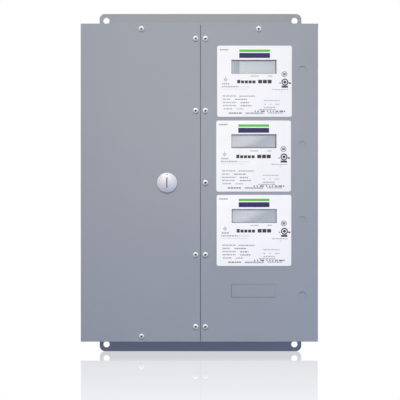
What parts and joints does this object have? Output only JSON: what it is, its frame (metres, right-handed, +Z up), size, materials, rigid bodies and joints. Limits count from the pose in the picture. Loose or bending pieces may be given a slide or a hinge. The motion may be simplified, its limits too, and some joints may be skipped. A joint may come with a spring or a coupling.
{
  "type": "electrical submeter enclosure",
  "caption": "Wall-mounted grey steel enclosure with a hinged wiring door on the left, a slotted quarter-turn latch, and a screwed cover with display windows on the right.",
  "frame": {"origin": "centre of the four wall holes, on the wall plane at the back of the enclosure", "axes": "+X to the right seen from the front, +Y into the wall, +Z up"},
  "size_m": [0.3554, 0.108, 0.5206],
  "materials": {
    "painted_steel": "fine-textured light grey powder coat, semi-matt",
    "zinc_screws": "bright zinc plate",
    "phosphate_steel": "dark phosphate spring steel",
    "white_label": "white polycarbonate overlay, satin, printed in grey, navy and green",
    "clear_lens": "clear polycarbonate window",
    "black_plastic": "moulded black, fine texture",
    "lcd_grey": "reflective grey liquid-crystal glass, switched off",
    "circuit_board": "green solder mask",
    "galvanised_steel": "galvanised, light spangle",
    "brass_parts": "bare brass",
    "capacitor_sleeve": "shrink sleeve over aluminium can",
    "green_plastic": "moulded green",
    "cable_jacket": "dark grey vinyl",
    "black_rubber": "matt",
    "grey_plastic": "moulded grey polyamide",
    "blue_plastic": "moulded blue polyamide",
    "ceramic_fuse": "cream ceramic tube with tinned end caps",
    "wire_jacket": "black wire insulation",
    "green_screws": "green-dyed zinc",
    "hinge_steel": "zinc-plated continuous hinge",
    "nickel_latch": "satin nickel over die-cast zinc"
  },
  "bodies": {
    "enclosure": {"back_pan": "painted_steel", "top_end_wall": "painted_steel", "bottom_end_wall": "painted_steel", "divider_mullion": "painted_steel", "meter_cover": "painted_steel", "blank_window_plate": "painted_steel", "meter_cover_screws": "zinc_screws", "cover_clip_nuts": "phosphate_steel", "door_clip_nuts": "phosphate_steel", "faceplate_label_1": "white_label", "faceplate_label_2": "white_label", "faceplate_label_3": "white_label", "display_lens_1": "clear_lens", "display_lens_2": "clear_lens", "display_lens_3": "clear_lens", "lcd_bezels": "black_plastic", "lcd_glass_1": "lcd_grey", "lcd_glass_2": "lcd_grey", "lcd_glass_3": "lcd_grey", "lcd_boards": "circuit_board", "meter_chassis": "galvanised_steel", "board_standoffs": "brass_parts", "meter_board_1": "circuit_board", "meter_board_2": "circuit_board", "meter_board_3": "circuit_board", "board_screws": "zinc_screws", "power_transformers": "black_plastic", "board_capacitors": "capacitor_sleeve", "board_chips": "black_plastic", "plug_terminals": "green_plastic", "meter_cables": "cable_jacket", "divider_grommets": "black_rubber", "din_rail": "galvanised_steel", "din_rail_screws": "zinc_screws", "line_terminals": "grey_plastic", "neutral_terminal": "blue_plastic", "earth_terminal": "green_plastic", "terminal_clamp_screws": "zinc_screws", "fuse_block": "black_plastic", "fuse_clips": "brass_parts", "fuses": "ceramic_fuse", "ct_terminal_strip": "black_plastic", "ct_strip_screws": "zinc_screws", "line_wires": "wire_jacket", "ground_bar": "brass_parts", "ground_bar_screws": "green_screws", "ground_stud": "brass_parts", "hinge_body_leaf": "hinge_steel", "hinge_pin": "hinge_steel"},
    "door": {"door_panel": "painted_steel", "door_stiffener": "painted_steel", "door_captive_screws": "zinc_screws", "wiring_label": "white_label", "hinge_door_leaf": "hinge_steel", "latch_bushing": "nickel_latch", "latch_nut": "nickel_latch"},
    "latch": {"latch_head": "nickel_latch", "latch_cam": "galvanised_steel", "cam_washer": "galvanised_steel", "cam_screw": "zinc_screws"}
  },
  "joints": [
    {"name": "door_swing", "type": "hinge", "parent": "enclosure", "child": "door", "pos_m": [-0.1778, -0.0866, 0], "axis": [0, 0, -1], "range_deg": [0, 120]},
    {"name": "latch_turn", "type": "hinge", "parent": "door", "child": "latch", "pos_m": [-0.0502, -0.1016, 0], "axis": [0, 1, 0], "range_deg": [0, 90]}
  ]
}
